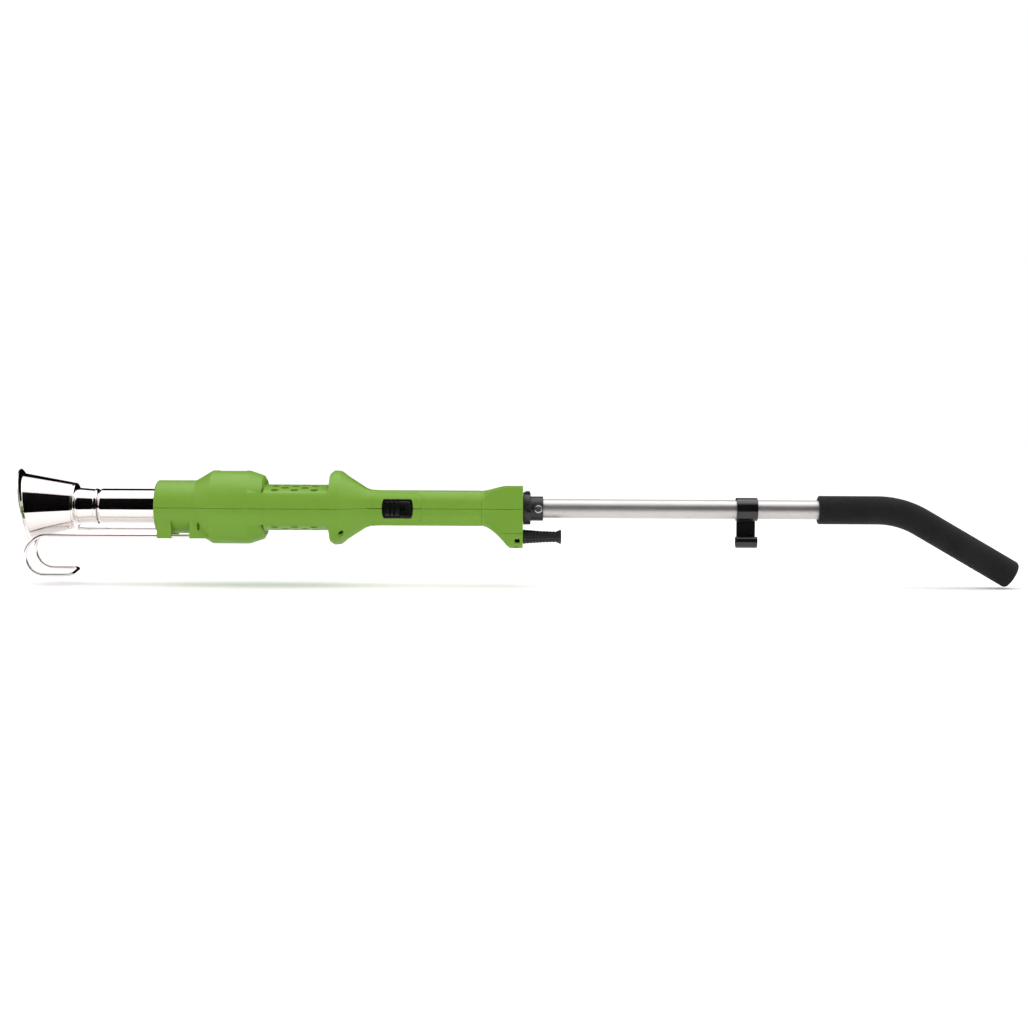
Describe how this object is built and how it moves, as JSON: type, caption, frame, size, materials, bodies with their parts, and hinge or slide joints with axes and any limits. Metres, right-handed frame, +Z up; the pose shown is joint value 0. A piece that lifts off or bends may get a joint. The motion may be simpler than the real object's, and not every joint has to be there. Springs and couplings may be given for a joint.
{
  "type": "electric hot-air weed burner",
  "caption": "Long electric hot-air garden burner: chrome bell nozzle on a wire stand, green two-part fan housing with slide switch, aluminium pole with cable clip and bent foam grip.",
  "frame": {"origin": "bottom centre of the whole tool, on the surface that the stand's hook and the grip's end touch, midway along its length", "axes": "+X along the tool from the bell nozzle towards the bent grip, +Y away from the switch side, +Z up"},
  "size_m": [1.0502, 0.0788, 0.1207],
  "materials": {
    "green_plastic": "fine spark texture, semi-matt",
    "chrome": "bright nickel-chrome plate",
    "black_plastic": "fine texture",
    "gloss_black": "polished",
    "foam": "matt closed-cell foam",
    "rubber": "ribbed, matt",
    "aluminium": "satin anodised",
    "steel": "bright zinc",
    "dark_steel": "phosphated",
    "mica": "layered mica paper",
    "ceramic": "fired, unglazed",
    "heater_wire": "oxidised resistance wire",
    "copper": "bare copper",
    "white_plastic": "plain",
    "board": "solder-masked laminate",
    "capacitor_film": "dipped film"
  },
  "bodies": {
    "housing": {"outlet_tube": "chrome", "heat_sleeve": "mica", "heater_core": "ceramic", "heater_coil": "heater_wire", "terminal_plate": "mica", "thermal_cutout": "steel", "upper_housing": "green_plastic", "lower_housing": "green_plastic", "stand_wire": "chrome", "fan_duct": "black_plastic", "motor_can": "steel", "motor_end_cap": "white_plastic", "magnet_near": "dark_steel", "magnet_far": "dark_steel", "motor_mount_front": "rubber", "motor_mount_rear": "rubber", "switch_bezel": "gloss_black", "switch_body": "black_plastic", "circuit_board": "board", "rectifier": "black_plastic", "capacitor": "capacitor_film", "pole_socket": "black_plastic", "socket_screw": "steel", "pole_tube": "aluminium", "foam_grip": "foam", "pole_plug": "black_plastic", "cord_sleeve": "rubber", "cord_clamp": "black_plastic", "clamp_screw_1": "dark_steel", "clamp_screw_2": "dark_steel", "housing_screw_1": "dark_steel", "housing_screw_2": "dark_steel", "housing_screw_3": "dark_steel", "housing_screw_4": "dark_steel", "housing_screw_5": "dark_steel", "housing_screw_6": "dark_steel"},
    "bell": {"bell_nozzle": "chrome"},
    "fan": {"fan_impeller": "black_plastic", "motor_shaft": "steel", "motor_rotor": "dark_steel", "commutator": "copper"},
    "switch": {"switch_slider": "gloss_black"},
    "clip": {"cable_clip": "gloss_black"}
  },
  "joints": [
    {"name": "fan_spin", "type": "hinge", "parent": "housing", "child": "fan", "pos_m": [-0.31037, 0, 0.0813], "axis": [1, 0, 0], "continuous": true},
    {"name": "switch_slide", "type": "slide", "parent": "housing", "child": "switch", "axis": [1, 0, 0], "range_m": [0, 0.011]},
    {"name": "nozzle_slip", "type": "slide", "parent": "housing", "child": "bell", "axis": [-1, 0, 0], "range_m": [0, 0.06]},
    {"name": "clip_slide", "type": "slide", "parent": "housing", "child": "clip", "axis": [1, 0, 0], "range_m": [-0.18, 0.062]}
  ]
}
